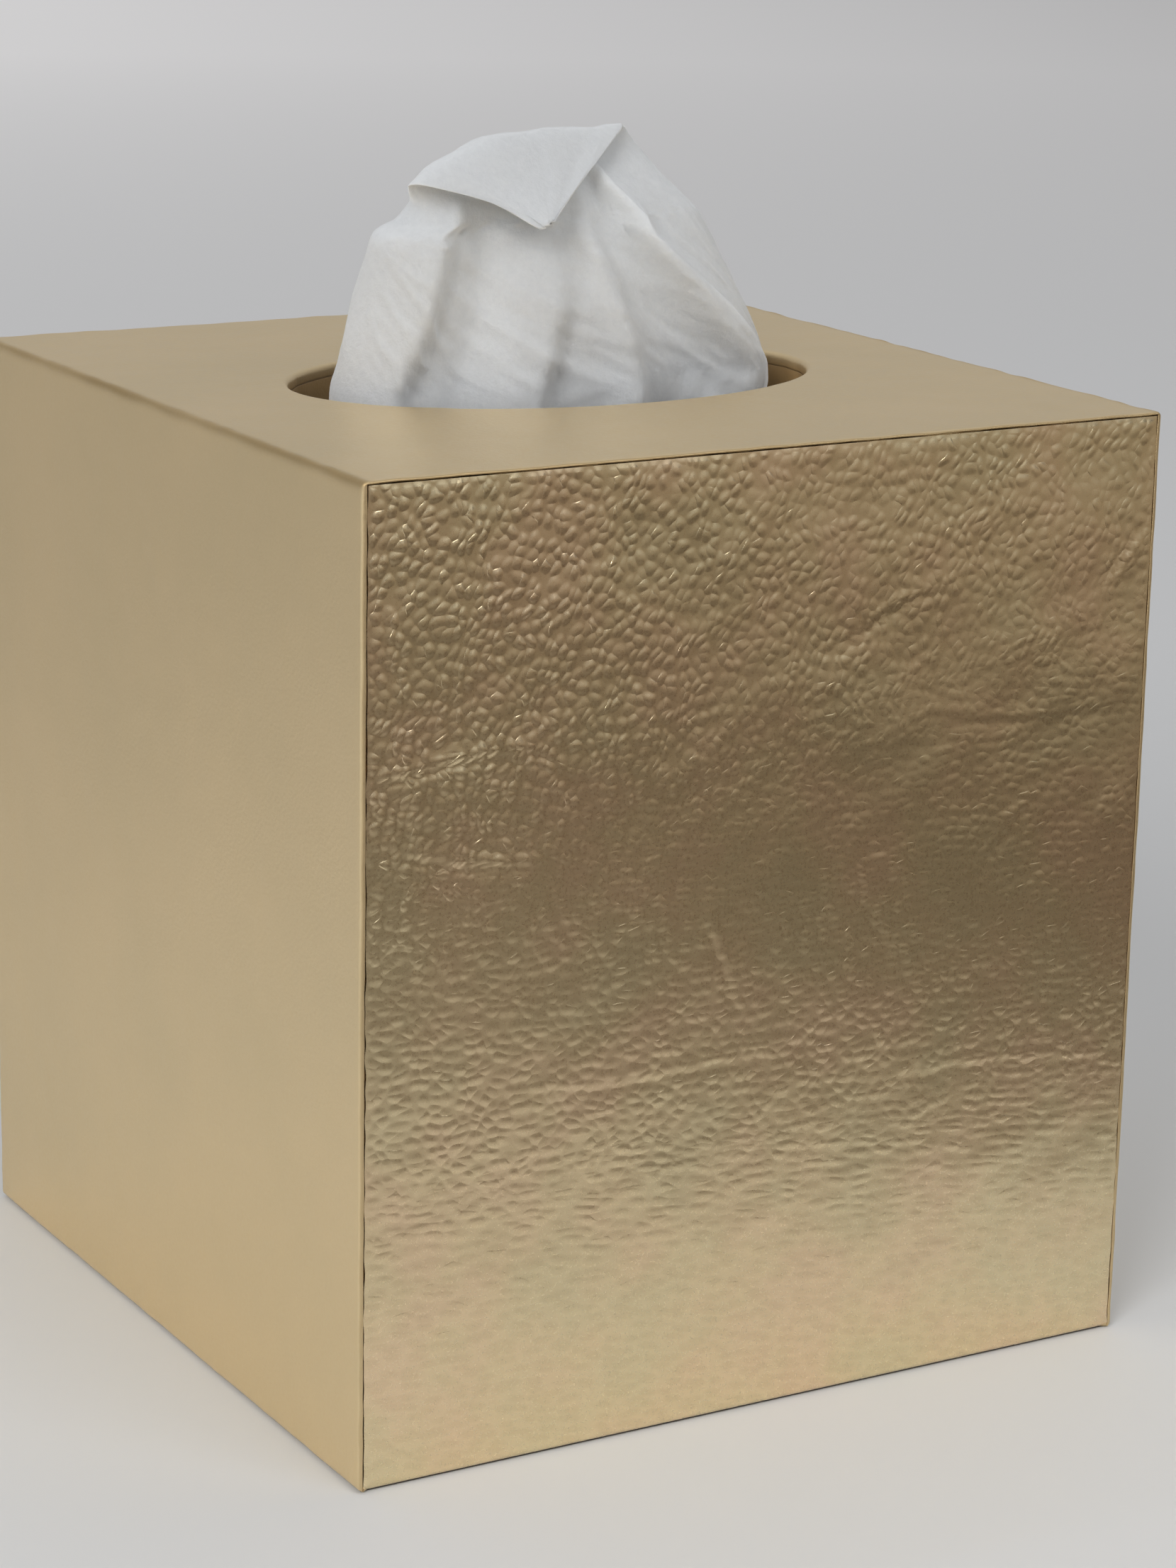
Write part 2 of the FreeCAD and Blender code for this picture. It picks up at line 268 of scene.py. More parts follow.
def strap_surface():
    """The strap as a grid: rows follow the fold line over the box, columns go from lip to lip. On the top,
    the cells inside the mouth are left out and rectangles round it are drawn in to ovals, then rings roll
    down. Gives points, faces, and for each point how much painted shade and wear it has along the folds and
    lips, and how brown it turns down in the mouth."""
    left_base, left_fold, top_run, right_fold, right_base = 1.5, 2.5, 3, 3.5, 4.5
    beside, along_mouth, across_mouth = 30, 66, 46
    tiny = 1e-6
    oval_x = mouth_x + fold
    oval_y = mouth_y + fold
    flat_x = side_x - fold
    flat_y = side_y - edge_fold
    outer_x = flat_x - (flat_x - oval_x) * np.linspace(0, 1, beside)[1:] ** 1.6
    top_x = np.r_[-outer_x, np.linspace(-oval_x, oval_x, along_mouth)[1:-1], outer_x[::-1]]
    flat = np.r_[np.linspace(-flat_y, -oval_y, beside), np.linspace(-oval_y, oval_y, across_mouth)[1:-1],
                 np.linspace(oval_y, flat_y, beside)]
    corners = [(-hem_x, hem_z), (-hem_x, base_z), (-side_x, base_z), (-side_x, top_z),
               (side_x, top_z), (side_x, base_z), (hem_x, base_z), (hem_x, hem_z)]
    hem = np.linspace(0, 1, 7)
    side = inner(100, 0.85)
    runs = [hem[:-1], inner(4), side, (top_x + flat_x) / (2 * flat_x), side, inner(4), hem[1:]]
    path = fold_path(corners, runs)
    run = path[3]
    turn = np.linspace(np.pi / 2, 0, 6)[:-1]
    lip_depth = np.r_[np.linspace(lip, edge_fold, 3)[:-1], edge_fold - edge_fold * np.cos(turn)]
    lip_y = np.r_[np.full(2, -side_y), -flat_y - edge_fold * np.sin(turn)]
    hem_edge = np.linspace(-side_y, -flat_y, len(lip_y), endpoint=False)
    depth = np.r_[lip_depth, np.zeros(len(flat)), lip_depth[::-1]]
    showing = (run >= left_base) & (run <= right_base)
    top_folds = np.isin(run, (left_fold, right_fold))
    line = on_path(path, np.zeros((len(run), 1)))
    under = np.clip((np.abs(line[:, 0]) - hem_x) / board, 0, 1)
    reach = np.where(showing, 1.0, (hem_y + under * (side_y - hem_y)) / side_y)
    lipped = showing & (line[:, 1] > base_z + tiny)
    y = reach[:, None] * np.where(lipped[:, None], np.r_[lip_y, flat, -lip_y[::-1]],
                                  np.r_[hem_edge, flat, -hem_edge[::-1]])
    down = np.where(line[:, 1] > hem_z, top_lip_share, 0)
    lips = showing[:, None] * np.stack([np.ones(len(run)), down], -1)
    travel = np.cumsum(np.r_[0, np.linalg.norm(np.diff(line, axis=0), axis=1)])[:, None] + 0 * y
    waves = ripple(travel, y, 0.011, 3), ripple(travel, y, 0.004, 4)
    waver = 1.04 + 0.04 * sum(np.clip(wave, -1, 1) for wave in waves)
    depth = depth * showing[:, None] * np.where(depth > edge_fold, waver, 1.0)
    bends = np.exp(-((depth / edge_fold - 0.4) / 0.4) ** 2) + top_folds[:, None]
    swell = 0.00003 * ripple(travel, y, 0.03, 5) + 0.00002 * ripple(travel, y, 0.012, 6)
    swell = swell + 0.00006 * np.minimum(bends, 1) * ripple(travel, y, 0.007, 7)
    section = on_path(path, depth[..., None] * lips[:, None] - swell[..., None])
    points = np.stack([section[..., 0], y, section[..., 1]], -1)
    top = (run == top_run)[:, None] & (np.abs(y) <= flat_y)
    px, py = points[..., 0], points[..., 1]
    out = np.maximum(np.maximum(np.abs(px) / oval_x, np.abs(py) / oval_y), tiny)
    sx = px / oval_x / out
    sy = py / oval_y / out
    ring_x = sx * np.sqrt(1 - sy ** 2 / 2)
    ring_y = sy * np.sqrt(1 - sx ** 2 / 2)
    limit = np.maximum(np.minimum(flat_x / oval_x, flat_y / oval_y) - 1, tiny)
    draw = np.clip(1 - (out - 1) / limit, 0, 1)
    draw = np.where(top, draw * draw * (3 - 2 * draw), 0)
    points[..., 0] = px + draw * (oval_x * out * ring_x - px)
    points[..., 1] = py + draw * (oval_y * out * ring_y - py)
    ids = numbered(points)
    # Painted shade with wear: a dark, irregular band along the top's two folds and over the lips, made
    # rougher too
    folds = travel[top_folds, :1].reshape(2, -1).mean(1)
    off = np.abs(travel[..., None] - folds).min(-1) + 0.00012 * ripple(travel * 0, y, 0.014, 8)
    worn = np.exp(-(off / 0.0009) ** 2) * (0.85 + 0.15 * ripple(travel, y, 0.03, 9))
    lip_shade = np.where(run == top_run, 0.75, 0.45)[:, None] * (depth > 0.2 * edge_fold)
    worn = np.clip(np.maximum(worn, lip_shade), 0, 1) * showing[:, None]
    middle = (line[:-1] + line[1:]) / 2
    between_y = (y[len(y) // 2, :-1] + y[len(y) // 2, 1:]) / 2
    inside = (middle[:, 1] > top_z - tiny) & (np.abs(middle[:, 0]) < oval_x)
    hole = inside[:, None] & (np.abs(between_y) < oval_y)[None]
    faces = quads(ids)[~hole.reshape(-1)]
    first, stop = np.flatnonzero(hole.any(1))[[0, -1]] + [0, 1]
    left, right = np.flatnonzero(hole.any(0))[[0, -1]] + [0, 1]
    loop = np.r_[ids[first:stop, left], ids[stop, left:right],
                 ids[stop:first:-1, right], ids[first, right:left:-1]]
    turn = np.linspace(0, np.pi / 2, 8)[1:, None]
    shrink = np.r_[fold * np.sin(turn), np.full((3, 1), fold)]
    drop = np.r_[fold * (1 - np.cos(turn)), np.linspace(fold, roll_depth, 4)[1:, None]]
    round_x = ring_x.reshape(-1)[loop]
    round_y = ring_y.reshape(-1)[loop]
    angle = np.arctan2(round_y, round_x)
    pucker = puckers(angle) * (drop / roll_depth)
    rings = np.stack([(oval_x - shrink + pucker) * round_x, (oval_y - shrink + pucker) * round_y,
                      top_z - drop + 0 * round_x], -1)
    ring_ids = np.r_[loop[None], ids.size + numbered(rings)]
    ring_ids = np.c_[ring_ids, ring_ids[:, :1]]
    faces = np.r_[faces, quads(ring_ids.T)]
    worn = np.r_[worn.ravel(), np.zeros(rings[..., 0].size)]
    # Browner and less metallic further down the roll into the mouth
    thin = np.repeat(np.sin(np.pi / 2 * drop / roll_depth), len(loop), 1)
    bare = np.r_[np.zeros(ids.size), thin.ravel()]
    return np.r_[points.reshape(-1, 3), rings.reshape(-1, 3)], faces, {"worn": worn, "bare": bare}


def mark(tree, name):
    """A number that the mesh holds for each of its points."""
    return add(tree, "Attribute", attribute_name=name).outputs["Fac"]


def spread(tree, value, low, high, to_low=0.0, to_high=1.0, **settings):
    """A value moved from one range to another, and held at the ends."""
    inputs = {"Value": value, "From Min": low, "From Max": high, "To Min": to_low, "To Max": to_high}
    return add(tree, "MapRange", inputs, **settings).outputs["Result"]


def sums(tree, operation, *values):
    """Numbers added or multiplied. MULTIPLY_ADD adds the third to the product of the first two."""
    return add(tree, "Math", values, operation=operation).outputs["Value"]


def smooth_gold_leather():
    """Metallic foil on smooth leather: an even warm gold, satin, with the skin's fine pores as relief.
    Painted shade darkens it along the folds and lips, which are also rougher from wear, and down in the
    mouth it turns browner and less metallic."""
    material, tree, shader = new_finish("smooth_gold_leather")
    place = place_of(tree)
    clouds = grain(tree, place, 0.03, 3.0)
    colour = ramp(tree, clouds, (0.3, (0.83, 0.665, 0.4)), (0.7, (0.87, 0.69, 0.415)))
    # Painted shade darkens the folds and lips; the same mark makes them rougher, as wear
    worn = mark(tree, "worn")
    painted_shade_tint = ramp(tree, worn, (0.0, (1.0, 1.0, 1.0)), (1.0, (0.57, 0.52, 0.44)))
    # Browner and less metallic down in the mouth, and most of all on the band
    bare = mark(tree, "bare")
    foil = spread(tree, bare, 0.0, 1.0, 1.0, 0.2)
    skin = ramp(tree, bare, (0.0, (1.0, 1.0, 1.0)), (1.0, (0.44, 0.35, 0.25)))
    tree.links.new(times(tree, times(tree, colour, painted_shade_tint), skin), shader.inputs["Base Color"])
    tree.links.new(foil, shader.inputs["Metallic"])
    pores = grain(tree, place, 0.0007, 5.0, 0.6)
    polish = spread(tree, pores, 0.3, 0.7, 0.34, 0.44)
    rough = sums(tree, "MULTIPLY_ADD", worn, 0.16, polish)
    tree.links.new(rough, shader.inputs["Roughness"])
    relief(tree, shader, pores, 0.00005)
    return material


smooth_gold = smooth_gold_leather()
strap_points, strap_faces, strap_marks = strap_surface()
strap = build("strap_leather", strap_points, strap_faces, "cover", "gold_leather", smooth_gold,
              ["leather_strap"], **strap_marks)
thicken(strap, skived)

# Front and back leather
# Panels of the same skin with its full pebble grain, glued between the strap's lips with a narrow seam
# all round and turned under the base. The grain leans at the upper left and lies level lower down.

# Creases across the front: both ends, how far the middle bows, and the depth
creases = np.array([
    (-0.066, 0.1030, -0.038, 0.1055, 0.0012, 0.00016),
    (-0.061, 0.0935, -0.036, 0.0890, -0.0010, 0.00012),
    (-0.0195, 0.1260, -0.018, 0.0970, 0.0006, 0.00010),
    (-0.0130, 0.0800, -0.005, 0.0610, 0.0008, 0.00012),
    (0.0370, 0.0790, 0.047, 0.0890, 0.0004, 0.00012),
    (-0.0450, 0.0560, 0.006, 0.0565, -0.0015, 0.00008),
    (0.0180, 0.0480, 0.061, 0.0450, 0.0014, 0.00008),
    (0.0655, 0.1320, 0.056, 0.1200, 0.0008, 0.00014),
    (0.0100, 0.1150, 0.030, 0.1230, 0.0012, 0.00010),
    (0.0250, 0.1040, 0.064, 0.1020, -0.0020, 0.00007),
])


def crease_relief(x, z):
    """Each crease is a narrow valley with a swell beside it, along a bowed line that fades at its ends."""
    x0, z0, x1, z1, bow, depth = creases.T
    length = np.hypot(x1 - x0, z1 - z0)
    along = ((x[..., None] - x0) * (x1 - x0) + (z[..., None] - z0) * (z1 - z0)) / length ** 2
    off = ((z[..., None] - z0) * (x1 - x0) - (x[..., None] - x0) * (z1 - z0)) / length
    inside = np.clip(along, 0, 1)
    off = off - 4 * bow * inside * (1 - inside)
    fade = np.where((along > 0) & (along < 1), np.sin(np.pi * inside) ** 0.7, 0)
    shape = 0.9 * np.exp(-((off - 0.0011) / 0.0008) ** 2) - np.exp(-(off / 0.0006) ** 2)
    return (depth * fade * shape).sum(-1)


def rising(distance, width):
    """From 0 to 1 as a distance passes zero: one over one plus e to the minus distance over width."""
    return 1 / (1 + np.exp(-distance / width))


def panel_surface(seed, pitch=0.0007):
    """A panel as a grid up the face and across it, with rims down to the boards and a back of long strips.
    Gives points, faces, and for each point how far the grain leans, how far it flows level, and how high it
    stands: most at the upper left and in a belt low down, and least at the base and the edges."""
    lean_height, lean_slope, level_height, belt_height = 0.08, 0.25, 0.042, 0.048
    top = top_z - top_lip_share * lip - top_seam
    corners = [(-hem_y, hem_z), (-hem_y, base_z), (-side_y, base_z), (-side_y, top)]
    count = int((top - base_z) / pitch)
    runs = [np.linspace(0, 1, 5)[:-1], inner(3), np.linspace(0, 1, count)[1:]]
    path = fold_path(corners, runs)
    run = path[3]
    line = on_path(path, np.zeros((len(run), 1)))
    under = np.clip((-line[:, 0] - hem_y) / board, 0, 1)
    half = side_x - lip - seam
    reach = np.where(run > 1, half, hem_x - lip + under * (half - hem_x + lip))[:, None]
    across = np.linspace(1, -1, int(2 * side_x / pitch))
    z = line[:, 1:] + 0 * across
    waver = 0.00008 * ripple(z, z, 0.006, seed + 4)
    x = reach * across + waver * across ** 15
    face = np.clip((z - base_z - fold) / 0.004, 0, 1) * (run[:, None] > 1)
    edge = np.minimum(reach - np.abs(x), top - z) + 0.0001 * ripple(x, z, 0.009, seed)
    roll = 0.00006 * np.exp(-np.maximum(edge, 0) / 0.0005)
    slow = 0.00005 * ripple(x, z, 0.022, seed + 1) + 0.00003 * ripple(x, z, 0.009, seed + 2)
    flat = np.clip(edge / 0.002, 0, 1)
    depth = np.where(face > 0, roll - face * flat * (slow + crease_relief(x, z)), 0)
    lean = rising(z - lean_height - lean_slope * (x + side_x), 0.007)
    flow = rising(level_height - z, 0.005)
    left = np.clip(-x / 0.05, 0, 1)
    rise = 0.32 + lean * (0.18 + 0.42 * left) + 0.3 * np.exp(-((z - belt_height) / 0.02) ** 2)
    rise = rise + 0.08 * ripple(x, z, 0.026, seed + 3)
    rise = rise * np.clip(0.3 + (z - 0.012) / 0.035, 0.3, 1) * np.clip(edge / 0.0006, 0, 1)
    section = on_path(path, depth[..., None])
    points = np.stack([x, section[..., 0], section[..., 1]], -1)
    ids = numbered(points)
    loop = np.r_[ids[:-1, 0], ids[-1, :-1], ids[:0:-1, -1], ids[0, :0:-1]]
    back = on_path(path, np.full((*x.shape, 1), leather))
    back = np.stack([x, back[..., 0], back[..., 1]], -1).reshape(-1, 3)[loop]
    inner_ids = ids.size + np.arange(len(loop))
    rim = np.stack([np.roll(loop, -1), loop, inner_ids, np.roll(inner_ids, -1)], -1)
    last_row, last_column = np.array(ids.shape) - 1
    start = inner_ids[:last_row + 1]
    end = inner_ids[last_row + last_column:2 * last_row + last_column + 1][::-1]
    strips = np.stack([start[2:-1], start[1:-2], end[1:-2], end[2:-1]], -1)
    upper = inner_ids[last_row - 1:last_row + last_column + 2][::-1]
    lower = [start[1], start[0], *inner_ids[:2 * last_row + last_column - 1:-1], end[1]]
    faces = [*quads(ids).tolist(), *rim.tolist(), *strips.tolist(), upper.tolist(), lower]
    values = {"lean": lean, "flow": flow, "rise": rise}
    values = {label: np.r_[numbers.ravel(), numbers.ravel()[loop]] for label, numbers in values.items()}
    return np.r_[points.reshape(-1, 3), back], faces, values


def grained_gold_leather():
    """Metallic foil on pebbled leather: the pebbles are the distance to scattered points, each of its own
    height, in a leaning, a level and a drawn-out field blended by lean and flow. The gold drifts from
    reddish to olive. Painted shade darkens the valleys where the grain leans, and a painted dark reflection
    the crowns where it lies level."""
    material, tree, shader = new_finish("grained_gold_leather")
    place = place_of(tree)
    wander = add(tree, "TexNoise", {"Vector": place, "Scale": 150.0, "Detail": 2.0}).outputs["Color"]
    bent = add(tree, "VectorMath", [wander, (0.0014, 0.0014, 0.0014), place],
               operation="MULTIPLY_ADD").outputs["Vector"]
    axes = add(tree, "SeparateXYZ", [bent]).outputs
    across = sums(tree, "MULTIPLY_ADD", axes["Y"], 3.0, axes["X"])
    flat = add(tree, "CombineXYZ", [across, axes["Z"]]).outputs["Vector"]
    fields = []
    for angle, long_way, short_way in ((72, 0.0020, 0.0015), (-4, 0.0021, 0.0016), (-8, 0.0040, 0.0015)):
        turned = add(tree, "Mapping", {"Vector": flat, "Rotation": (0.0, 0.0, np.radians(angle)),
                                       "Scale": (long_way, short_way, 1.0)}, vector_type="TEXTURE")
        cells = {"Vector": turned.outputs["Vector"], "Scale": 1.0, "Randomness": 0.85, "Smoothness": 0.2}
        field = add(tree, "TexVoronoi", cells, voronoi_dimensions="2D", feature="SMOOTH_F1")
        fields.append(field.outputs)
    lean, rise, flow = [mark(tree, name) for name in ("lean", "rise", "flow")]
    blend = {}
    for label in ("Distance", "Color"):
        leaning, level, flowing = [field[label] for field in fields]
        level = add(tree, "Mix", {"Factor": flow, "A": level, "B": flowing}).outputs["Result"]
        blend[label] = add(tree, "Mix", {"Factor": lean, "A": level, "B": leaning}).outputs["Result"]
    crown = spread(tree, blend["Distance"], 0.68, 0.08, interpolation_type="SMOOTHSTEP")
    uneven = spread(tree, blend["Color"], 0.3, 0.75, 0.65, 1.5)
    clouds = grain(tree, place, 0.018, 3.0)
    colour = ramp(tree, clouds, (0.36, (0.8, 0.675, 0.43)), (0.5, (0.83, 0.675, 0.43)),
                  (0.64, (0.85, 0.66, 0.435)))
    # Painted shade in the valleys between the pebbles, where the grain leans
    valley = ramp(tree, crown, (0.0, (0.93, 0.92, 0.9)), (0.4, (1.0, 1.0, 1.0)))
    # A painted dark reflection on the pebbles' crowns, where the grain lies level
    painted_crown_shade = ramp(tree, crown, (0.2, (1.0, 1.0, 1.0)), (0.8, (0.95, 0.945, 0.935)))
    shade = add(tree, "Mix", {0: lean, 6: painted_crown_shade, 7: valley}, data_type="RGBA").outputs[2]
    tree.links.new(times(tree, colour, shade), shader.inputs["Base Color"])
    shader.inputs["Metallic"].default_value = 1.0
    pores = grain(tree, place, 0.0005, 4.0, 0.6)
    tree.links.new(spread(tree, pores, 0.3, 0.7, 0.25, 0.33), shader.inputs["Roughness"])
    raised = sums(tree, "MULTIPLY", crown, sums(tree, "MULTIPLY", uneven, rise))
    height = sums(tree, "MULTIPLY_ADD", pores, 0.02, raised)
    relief(tree, shader, height, 0.000094)
    return material


grained_gold = grained_gold_leather()
half_turn = np.array([-1.0, -1.0, 1.0])
front_points, panel_faces, front_grain = panel_surface(11)
build("front_panel", front_points, panel_faces, "cover", "gold_leather", grained_gold, ["front_leather"],
      **front_grain)
back_points, panel_faces, back_grain = panel_surface(41)
build("back_panel", back_points * half_turn, panel_faces, "cover", "gold_leather", grained_gold,
      ["back_leather"], **back_grain)

# Mouth band
# A strip of the same leather glued round the cut wall of the mouth, under the strap's rolled edge. It is
# pressed in by hand, so it puckers slightly where the oval bends most.

band_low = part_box("mouth_band")[0]


def band_surface(around=240, radius=0.0001):
    """A closed rounded section carried round the oval, each point pushed in or out by small puckers."""
    corner = np.linspace(0, np.pi / 2, 4)
    turn = np.concatenate([corner + k * np.pi / 2 for k in range(4)])
    middle = np.repeat([(1, 1), (-1, 1), (-1, -1), (1, -1)], 4, 0)
    band_top = top_z - roll_depth
    tall = (band_top - band_low.z) / 2
    out = leather / 2 + middle[:, 0] * (leather / 2 - radius) + radius * np.cos(turn)
    up = (band_low.z + band_top) / 2 + middle[:, 1] * (tall - radius) + radius * np.sin(turn)
    angle = np.linspace(0, 2 * np.pi, around, endpoint=False)[:, None]
    out = out + puckers(angle) * (1 - out / leather)
    points = np.stack([(mouth_x + out) * np.cos(angle), (mouth_y + out) * np.sin(angle), up + 0 * angle], -1)
    ids = numbered(points)
    ids = np.r_[ids, ids[:1]]
    return points.reshape(-1, 3), quads(np.c_[ids, ids[:, :1]])


band_points, band_faces = band_surface()
build("mouth_band_leather", band_points, band_faces, "cover", "gold_leather", smooth_gold, ["mouth_band"],
      worn=np.zeros(len(band_points)), bare=np.ones(len(band_points)))

# Linings
# Brown woven cloth on thin card, glued to the inside of every board. The leather's hems run up under its
# lower edge. Flat sheets, so the solids stay and get the cloth's finish.


def lining_cloth():
    """Plain weave: threads across each of the axes, so that any face shows two crossing sets."""
    material, tree, shader = new_finish("lining_cloth")
    place = place_of(tree)
    waves = {"Vector": place, "Scale": 430.0, "Distortion": 0.6, "Detail": 1.0, "Detail Scale": 2.0}
    threads = [add(tree, "TexWave", waves, bands_direction=axis).outputs["Fac"] for axis in "XYZ"]
    weave = sums(tree, "MULTIPLY", sums(tree, "MULTIPLY", threads[0], threads[1]), threads[2])
    slubs = grain(tree, place, 0.004, 4.0)
    mixed = sums(tree, "MULTIPLY_ADD", slubs, 0.6, weave)
    colour = ramp(tree, mixed, (0.2, (0.075, 0.042, 0.02)), (0.6, (0.15, 0.088, 0.045)),
                  (1.0, (0.22, 0.14, 0.075)))
    tree.links.new(colour, shader.inputs["Base Color"])
    shader.inputs["Roughness"].default_value = 0.9
    shader.inputs["Sheen Weight"].default_value = 0.25
    relief(tree, shader, weave, 0.00015)
    return material


dress(["top_lining", "front_lining", "back_lining", "left_lining", "right_lining"], lining_cloth())

# Felt strips
# Dark pressed felt, 1 mm thick, glued under the base rim so that the cover doesn't scratch what it is on.


def base_felt():
    """Pressed fibres: long soft noise in dark brown with a nap that catches the light."""
    material, tree, shader = new_finish("base_felt")
    fibres = grain(tree, place_of(tree, (1.0, 1.0, 3.0)), 0.0006, 8.0, 0.75)
    colour = ramp(tree, fibres, (0.3, (0.03, 0.023, 0.018)), (0.7, (0.11, 0.087, 0.07)))
    tree.links.new(colour, shader.inputs["Base Color"])
    shader.inputs["Roughness"].default_value = 1.0
    shader.inputs["Sheen Weight"].default_value = 0.4
    relief(tree, shader, fibres, 0.0002)
    return material


dress(["front_felt", "back_felt", "left_felt", "right_felt"], base_felt())

# Carton
# The bought cube of tissues that the cover goes over: plain white-lined paperboard, folded and glued, with
# an oval torn out of its top.


def carton_board():
    """White-lined board: pale, faintly fibrous, darker in slow patches, with a soft clay-coat sheen."""
    material, tree, shader = new_finish("carton_board")
    place = place_of(tree)
    fibres = grain(tree, place, 0.0008, 6.0, 0.7)
    patches = grain(tree, place, 0.05, 2.0)
    mixed = sums(tree, "MULTIPLY_ADD", fibres, 0.5, patches)
    colour = ramp(tree, mixed, (0.4, (0.66, 0.64, 0.6)), (0.75, (0.74, 0.73, 0.7)), (1.0, (0.8, 0.79, 0.76)))
    tree.links.new(colour, shader.inputs["Base Color"])
    shader.inputs["Roughness"].default_value = 0.55
    relief(tree, shader, fibres, 0.00008)
    return material


dress(["tissue_carton"], carton_board())

# Carton film
# Clear plastic film glued under the carton's oval, with a slit that holds the next tissue up.


def carton_film():
    """Thin clear film: see-through, glossy, slightly wrinkled."""
    material, tree, shader = new_finish("carton_film")
    wrinkles = grain(tree, place_of(tree), 0.009, 3.0)
    colour = ramp(tree, wrinkles, (0.3, (0.8, 0.83, 0.87)), (0.7, (0.9, 0.92, 0.95)))
    tree.links.new(colour, shader.inputs["Base Color"])
    shader.inputs["Roughness"].default_value = 0.15
    shader.inputs["Alpha"].default_value = 0.42
    relief(tree, shader, wrinkles, 0.0006)
    return material


dress(["carton_film"], carton_film())

# Tissue pile
# Folded sheets lying on each other in the carton, each sheet's folded edge a little in or out of line.

pile_low, pile_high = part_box("tissue_stack")


def pile_surface(sheets=75, along=28):
    """A squared stack: each sheet is three rings round a rounded square, the middle one out and the next
    pair in, by a random amount for every sheet and side. The lid and base are grids drawn to the middle."""
    draw = np.random.default_rng(8)
    side = np.linspace(-1, 1, along, endpoint=False)
    one = np.ones(along)
    square = np.concatenate([np.c_[side, -one], np.c_[one, side], np.c_[-side, one], np.c_[-one, -side]])
    corner_reach = 1.36
    square = square / np.maximum(1, np.linalg.norm(square, axis=1) / corner_reach)[:, None]
    rings = 2 * sheets + 1
    z = np.linspace(pile_low.z, pile_high.z, rings)
    jog = np.repeat(draw.uniform(0.0001, 0.0009, (sheets + 1, 4)), 2, 0)[:rings]
    jog = jog + 0.00035 * (np.arange(rings) % 2 == 0)[:, None]
    jog = np.repeat(jog, along, 1)
    around = np.arange(4 * along) * 0.004
    uneven = 1 + ripple(z[:, None] + 0 * jog, around, 0.03, 9)
    reach = pile_high.x - jog - 0.0002 * uneven / 2
    walls = np.dstack([square[None] * reach[..., None], z[:, None] + 0 * jog])
    shares = np.linspace(1, 0, 8)[1:, None]
    level = 0 * shares * square[:, 0]
    lid = np.dstack([shares[..., None] * walls[-1, None, :, :2], pile_high.z + level])
    base = np.dstack([shares[::-1, ..., None] * walls[0, None, :, :2], pile_low.z + level])
    points = np.concatenate([base, walls, lid])
    ids = numbered(points)
    ids[0] = ids[0, 0]
    ids[-1] = ids[-1, 0]
    faces = quads(np.c_[ids, ids[:, :1]].T)
    return points.reshape(-1, 3), [list(dict.fromkeys(face)) for face in faces.tolist()]


def folded_sheets():
    """Soft white paper seen edge on, darker and a touch warmer in bands: painted shade for the gaps
    between sheets.
    """
    material, tree, shader = new_finish("folded_sheets")
    layers = grain(tree, place_of(tree, (1.0, 1.0, 9.0)), 0.004, 5.0, 0.65)
    # Painted shade: darker bands standing for the gaps between sheets
    colour = ramp(tree, layers, (0.3, (0.68, 0.68, 0.67)), (0.7, (0.86, 0.865, 0.87)))
    tree.links.new(colour, shader.inputs["Base Color"])
    shader.inputs["Roughness"].default_value = 0.95
    relief(tree, shader, layers, 0.0003)
    return material


pile_points, pile_faces = pile_surface()
build("tissue_pile", pile_points, pile_faces, "carton", "folded_sheets", folded_sheets(),
      ["tissue_stack"], 30.0)

# Pulled tissue
# The part of a folded two-ply sheet that stands up through the film's slit and the mouth. It is gathered in
# the slit, spreads in loose folds above it, and its free end flops forward as a three-cornered flap.

# Sections up the tissue in millimetres and degrees: height, forward, sideways, half width, half depth, lean
# forward, how far the right side stays back, how far the right side rises, and how open the folds are
sections = np.array([
    (124.5, 0.0, 0.0, 24.0, 1.2, 0, 0.0, 0.0, 0.05),
    (127.1, 0.0, 0.0, 24.4, 1.2, 0, 0.0, 0.0, 0.05),
    (131.0, 0.0, 0.0, 28.0, 5.0, 0, 0.0, 0.0, 0.40),
    (136.5, 0.0, 0.1, 34.5, 10.5, 0, 0.0, 0.0, 0.85),
    (143.0, 0.0, 0.3, 37.4, 13.6, 0, 0.0, 0.0, 1.00),
    (150.5, 0.0, 0.1, 36.0, 13.2, 0, 0.0, 0.0, 1.00),
    (158.0, 0.1, -0.8, 33.3, 11.8, 0, 0.5, 0.0, 1.00),
    (165.0, 0.2, -2.0, 30.8, 9.6, 0, 1.2, 0.0, 0.95),
    (169.4, 0.4, -2.9, 29.0, 7.8, 1, 1.8, 0.3, 0.85),
    (171.4, 0.5, -2.2, 26.2, 6.6, 2, 2.2, 0.6, 0.68),
    (174.6, 0.6, -3.4, 23.4, 4.8, 6, 2.8, 1.2, 0.44),
    (178.3, 1.2, -6.2, 22.0, 2.4, 22, 4.4, 2.4, 0.18),
    (180.2, 3.0, -7.7, 20.9, 1.1, 70, 5.2, 3.1, 0.05),
    (179.7, 5.4, -7.8, 18.6, 0.7, 112, 4.8, 2.9, 0.03),
    (175.9, 9.8, -7.8, 9.8, 0.5, 130, 2.8, 1.7, 0.02),
    (171.0, 15.0, -9.6, 1.4, 0.4, 134, 0.6, 0.4, 0.0),
])
